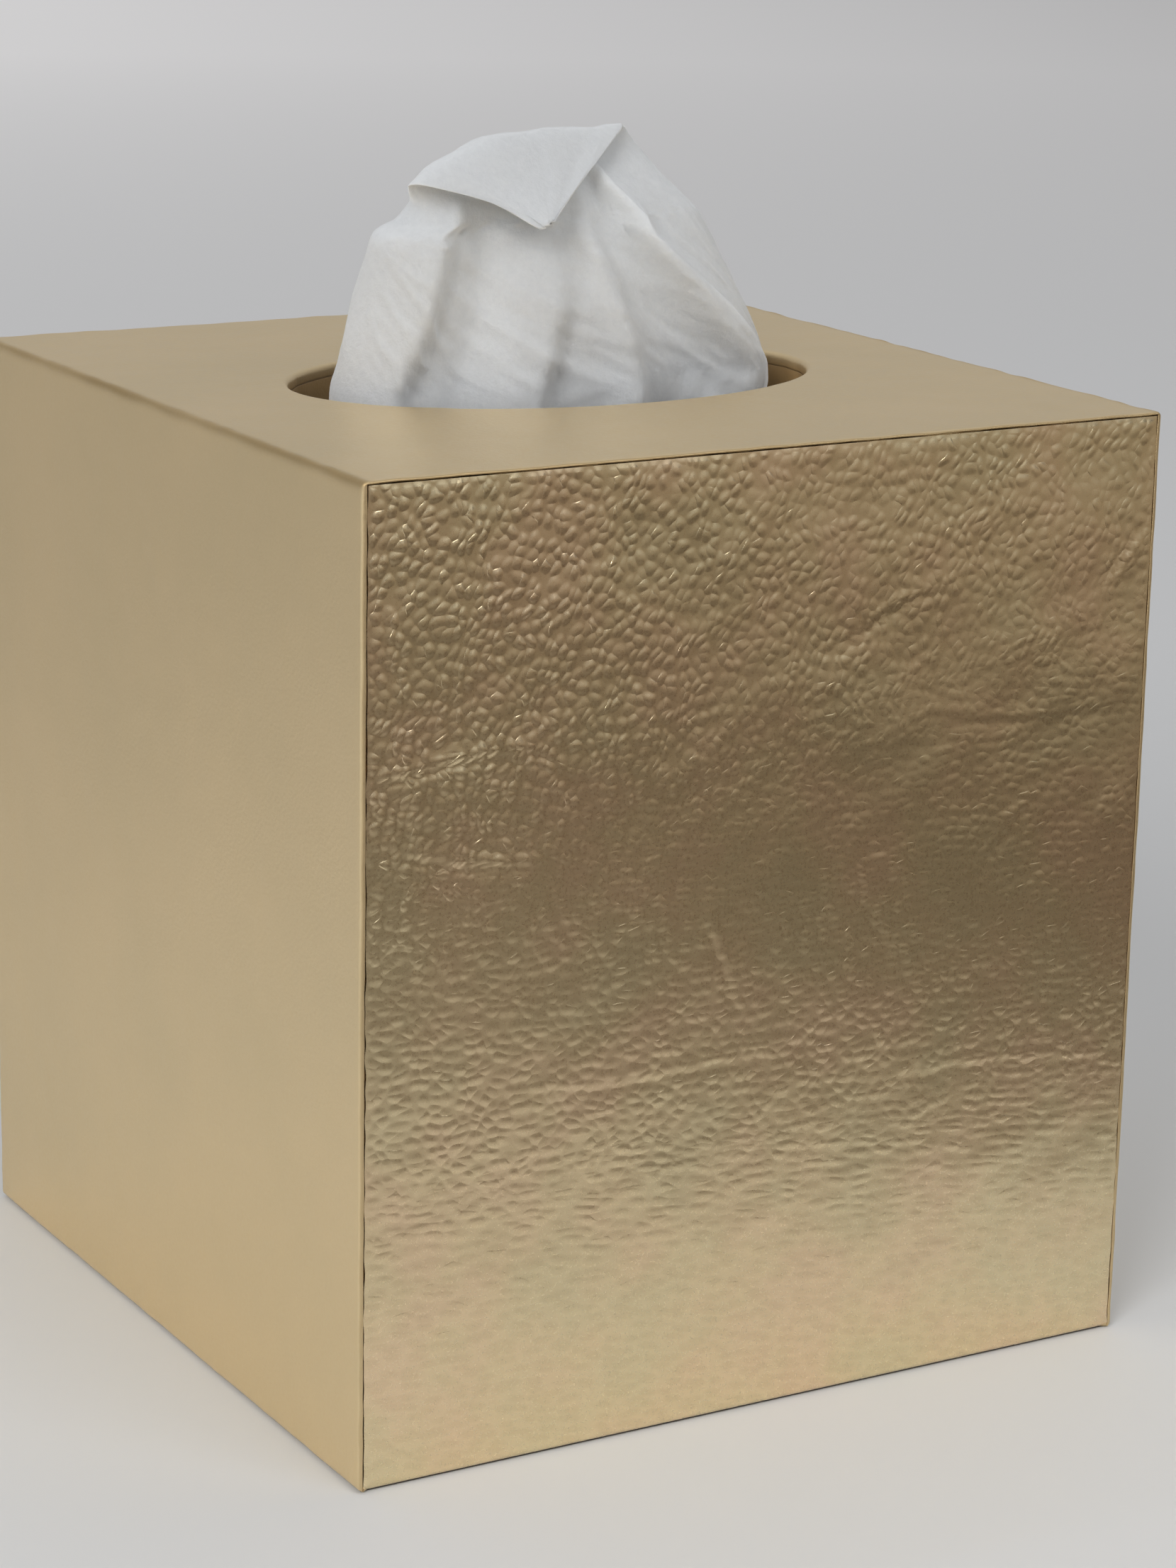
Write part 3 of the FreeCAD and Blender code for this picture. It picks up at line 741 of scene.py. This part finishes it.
# Folds in the front and the back, from the left edge to the right: places as a share of the half width at
# the mouth and near the flap, and how far each line stands out there, in millimetres
front_folds = np.array([
    (-1.00, -1.00, 0.0, 0.0), (-0.96, -0.94, 1.2, 1.4), (-0.86, -0.70, 2.8, 3.2),
    (-0.80, -0.64, -1.2, -0.6), (-0.53, -0.40, -4.6, -3.6), (-0.45, -0.32, 1.6, -1.2),
    (-0.27, 0.01, 3.0, -0.6), (-0.21, 0.04, -1.6, -1.6), (0.10, 0.08, -1.8, -0.6),
    (0.19, 0.13, 2.8, 2.4), (0.27, 0.20, -2.4, -1.2), (0.50, 0.34, -6.4, -4.2),
    (0.90, 0.48, 1.0, 3.0), (0.96, 0.60, -0.6, 0.2), (1.00, 1.00, 0.0, 0.0),
])
back_folds = np.array([
    (-1.00, -1.00, 0.0, 0.0), (-0.80, -0.82, 2.8, 2.2), (-0.60, -0.62, -9.0, -7.0), (-0.40, -0.40, 2.4, 2.0),
    (-0.16, -0.18, 1.4, -1.4), (0.06, 0.04, -9.0, -7.0), (0.26, 0.24, 2.6, 2.0), (0.50, 0.50, 1.2, 0.4),
    (0.66, 0.66, -8.0, -6.0), (0.84, 0.84, 2.6, 1.8), (1.00, 1.00, 0.0, 0.0),
])


def through(place, values):
    """A smooth curve through evenly numbered values: cubic, with each slope half the step from one neighbour
    to the other."""
    slopes = np.gradient(values)
    i = np.clip(place.astype(int), 0, len(values) - 2)
    f = place - i
    start = (1 + 2 * f) * (1 - f) ** 2 * values[i] + f * (1 - f) ** 2 * slopes[i]
    return start + f * f * (3 - 2 * f) * values[i + 1] + f * f * (f - 1) * slopes[i + 1]


def pleats(q, up, folds):
    """Straight panels between fold lines: the first line's depth plus, for each panel, its slope times how
    far across it the point is. The lines move and flatten with height."""
    place = folds[:, 0] + up[..., None] * (folds[:, 1] - folds[:, 0])
    depth = folds[:, 2] + up[..., None] * (folds[:, 3] - folds[:, 2])
    width = np.diff(place)
    across = np.clip(q[..., None] - place[..., :-1], 0, width)
    return depth[..., 0] + (across / width * np.diff(depth)).sum(-1)


def tissue_surface(rows=150, columns=300):
    """A sheet carried up the sections and wrapped round into a tube whose edges overlap at the front right:
    a flattened oval, pushed out and in by the pleats, gathered in the slit, with crinkles where waves cross
    zero."""
    step = np.linspace(0, len(sections) - 1, rows)
    height, forward, sideways, half, thick, lean, skew, roll, loose = [
        through(step, values)[:, None] for values in sections.T]
    up = np.clip((height - 146) / 22, 0, 1)
    turn = np.linspace(-0.39 * np.pi, 1.65 * np.pi, columns)[None]
    angle = turn + 0.25 * np.pi * (1 - up)
    c = np.cos(angle)
    s = np.sin(angle)
    q = np.sign(c) * np.abs(c) ** 0.85
    bulge = np.sign(s) * np.abs(s) ** 0.9
    up = up + 0 * q
    soft = np.linspace(-0.05, 0.05, 5)
    front = np.mean([pleats(q + d, up, front_folds) for d in soft], 0)
    back = np.mean([pleats(q + d, up, back_folds) for d in soft], 0)
    fold = np.where(s < 0, front, back)
    girth = turn * 26 + 0 * q
    length = step[:, None] * 5.6 + 0 * q
    crinkle = np.abs(ripple(girth * 1.3, length * 0.6, 15, 21)) * 0.36
    crinkle = crinkle + np.abs(ripple(girth, length, 6, 22)) * 0.16
    crinkle = (crinkle + 0.07 * ripple(girth, length, 2.6, 23)) * np.clip((height - 128) / 10, 0, 1)
    slit = np.clip((height - 125) / 6, 0.35, 1) * np.clip((141.5 - height) / 6, 0, 1)
    gathers = 2.9 * slit * np.sin(27 * angle + 0.8 * np.sin(5 * angle))
    fold = loose * fold - (0.2 + 0.8 * loose) * half / 36 * crinkle + gathers
    rise = np.where(s < 0, -1, 1) * fold * np.minimum(1, 3 * np.abs(s)) + thick * bulge
    overlap = np.clip((turn - 1.6 * np.pi) / (0.04 * np.pi), 0, 1)
    rise = rise - 0.7 * overlap * np.clip(loose * 4, 0.3, 1)
    tilt = np.radians(lean)
    crest = 2.6 * (1 - q ** 2) * (1 - q) * np.clip((height - 170) / 9, 0, 1) * np.clip(half / 20, 0, 1) ** 2
    x = sideways + half * q + 0.25 * ripple(length, girth, 17, 24) * np.clip((height - 140) / 10, 0, 1)
    y = -forward + skew * q + rise * np.cos(tilt)
    z = height + roll * q + crest + rise * np.sin(tilt)
    points = np.stack([x, y, z], -1) / 1000
    ids = numbered(points)
    return points.reshape(-1, 3), quads(ids.T)


def tissue_paper():
    """Soft two-ply paper: white, faintly cloudy and matt, finely pressed, with light passing through it."""
    material, tree, shader = new_finish("tissue_paper")
    place = place_of(tree)
    fibres = grain(tree, place, 0.0012, 6.0, 0.7)
    colour = ramp(tree, fibres, (0.3, (0.86, 0.89, 0.92)), (0.7, (0.92, 0.95, 0.975)))
    tree.links.new(colour, shader.inputs["Base Color"])
    shader.inputs["Roughness"].default_value = 0.95
    shader.inputs["Subsurface Weight"].default_value = 0.6
    shader.inputs["Subsurface Radius"].default_value = (1.0, 1.0, 1.0)
    shader.inputs["Subsurface Scale"].default_value = 0.002
    shader.inputs["Sheen Weight"].default_value = 0.15
    relief(tree, shader, fibres, 0.0002)
    return material


tissue_points, tissue_faces = tissue_surface()
two_plies = 0.00016
tissue = build("standing_tissue", tissue_points, tissue_faces, "tissue", "tissue", tissue_paper(),
               ["pulled_tissue"], 75.0)
thicken(tissue, two_plies)

# Floor, light and camera
# A plain pale floor, soft light from above, cards for the gold to reflect, and the photograph's viewing
# angle.


def stage_plane(name, low, high, z):
    """A flat rectangle that belongs to the stage."""
    mesh = bpy.data.meshes.new(name)
    corners = [(low[0], low[1], z), (high[0], low[1], z), (high[0], high[1], z), (low[0], high[1], z)]
    mesh.from_pydata(corners, [], [(0, 1, 2, 3)])
    plane = bpy.data.objects.new(name, mesh)
    bpy.context.scene.collection.objects.link(plane)
    return plane


def distance_along(tree, place, heading):
    """How far a place lies along a heading, in metres."""
    return add(tree, "VectorMath", [place, heading], operation="DOT_PRODUCT").outputs["Value"]


def pale_floor():
    """A pale floor that glows a little far from the middle, more on the picture's left than on its right."""
    material, tree, shader = new_finish("pale_floor")
    picture_right = (0.863, -0.505, 0.0)
    place = add(tree, "TexCoord").outputs["Object"]
    far = add(tree, "VectorMath", [place], operation="LENGTH").outputs["Value"]
    far = spread(tree, far, 0.3, 2.2)
    colour = ramp(tree, far, (0.0, (0.7, 0.705, 0.71)), (1.0, (0.69, 0.68, 0.68)))
    tree.links.new(colour, shader.inputs["Base Color"])
    strength = spread(tree, distance_along(tree, place, picture_right), -0.5, 0.5, 0.29, 0.11)
    shader.inputs["Emission Color"].default_value = (1.0, 0.985, 0.985, 1.0)
    tree.links.new(sums(tree, "MULTIPLY", far, strength), shader.inputs["Emission Strength"])
    shader.inputs["Roughness"].default_value = 0.6
    return material


floor = stage_plane("floor", (-6, -6), (6, 6), 0.0)
floor.data.materials.append(pale_floor())


def reflector(name, low, high, turn, *stops):
    """A card on the floor that only reflections see. Its colours are set along Y, turned a little, each stop
    a distance in metres and a colour."""
    card = stage_plane(name, low, high, 0.002)
    finish, tree, shader = new_finish(name)
    shader.inputs["Base Color"].default_value = (0.0, 0.0, 0.0, 1.0)
    shader.inputs["Specular IOR Level"].default_value = 0.0
    place = add(tree, "TexCoord").outputs["Object"]
    first = stops[0][0]
    last = stops[-1][0]
    share = spread(tree, distance_along(tree, place, (np.sin(turn), np.cos(turn), 0.0)), first, last)
    glow = ramp(tree, share, *[((stop - first) / (last - first), colour) for stop, colour in stops])
    tree.links.new(glow, shader.inputs["Emission Color"])
    shader.inputs["Emission Strength"].default_value = 1.0
    card.data.materials.append(finish)
    card.visible_camera = False
    card.visible_diffuse = False
    card.visible_transmission = False
    card.visible_shadow = False


# What the gold reflects: a dark card in front, and a grey one behind on the left
reflector("front_card", (-0.9, -2.2), (2.4, -0.12), -0.7,
          (-0.07, (0.6, 0.585, 0.565)), (-0.135, (0.54, 0.525, 0.51)), (-0.175, (0.34, 0.31, 0.275)),
          (-0.25, (0.14, 0.117, 0.093)), (-0.32, (0.088, 0.063, 0.045)), (-0.42, (0.106, 0.083, 0.062)),
          (-0.56, (0.2, 0.163, 0.124)), (-0.69, (0.37, 0.313, 0.25)))
reflector("left_card", (-2.6, 0.16), (-0.1, 2.6), 0.0,
          (0.16, (0.555, 0.545, 0.535)), (0.5, (0.4, 0.395, 0.39)))

world = bpy.data.worlds.new("room")
bpy.context.scene.world = world
world.use_nodes = True
sky = world.node_tree
axes = add(sky, "SeparateXYZ", [add(sky, "TexCoord").outputs["Generated"]]).outputs
behind = spread(sky, axes["Y"], -0.75, 0.2, 0.11, 0.43)
above = spread(sky, axes["Z"], 0.45, 1.0, 0.0, 0.28)
lit = sums(sky, "ADD", behind, above)
sky.nodes["Background"].inputs["Color"].default_value = (0.985, 0.99, 1.0, 1.0)
sky.links.new(lit, sky.nodes["Background"].inputs["Strength"])


def softbox(name, place, aim, size, power):
    """A square soft light at a place, turned to a point."""
    light = bpy.data.lights.new(name, "AREA")
    light.size = size
    light.energy = power
    light.color = (0.99, 0.995, 1.0)
    lamp = bpy.data.objects.new(name, light)
    lamp.location = place
    lamp.rotation_euler = (Vector(aim) - Vector(place)).to_track_quat("-Z", "Y").to_euler()
    bpy.context.scene.collection.objects.link(lamp)
    return lamp


softbox("key_light", (-1.2, -0.95, 1.0), (0, 0, 0.08), 0.7, 15.5)
softbox("front_light", (0.3, -1.2, 1.1), (0, 0, 0.1), 0.9, 6.5)
# Low in front, for the glints along the upper sides of the pebbles, on the left and on the right
for side, place, power in (("left", (0.05, -1.55, 0.62), 1.5), ("right", (0.75, -1.4, 0.36), 0.5)):
    glints = softbox(side + "_glints", place, (0, 0, 0.1), 0.5, power)
    glints.visible_diffuse = False

# The camera's place, heading, pitch and roll, solved from the box's corners in the photograph
camera_place = (-0.3075, -0.5397, 0.2484)
camera_heading, camera_pitch, camera_roll = np.radians((30.3, -15.12, 1.12))
lens = bpy.data.cameras.new("camera")
lens.lens = 93.34
lens.sensor_width = 36.0
lens.clip_start = 0.01
camera = bpy.data.objects.new("camera", lens)
camera.rotation_mode = "XYZ"
camera.location = camera_place
heading = Matrix.Rotation(-camera_heading, 4, "Z")
pitch = Matrix.Rotation(np.pi / 2 + camera_pitch, 4, "X")
roll = Matrix.Rotation(camera_roll, 4, "Z")
camera.rotation_euler = (heading @ pitch @ roll).to_euler()
bpy.context.scene.collection.objects.link(camera)
bpy.context.scene.camera = camera
bpy.context.scene.view_settings.view_transform = "Standard"
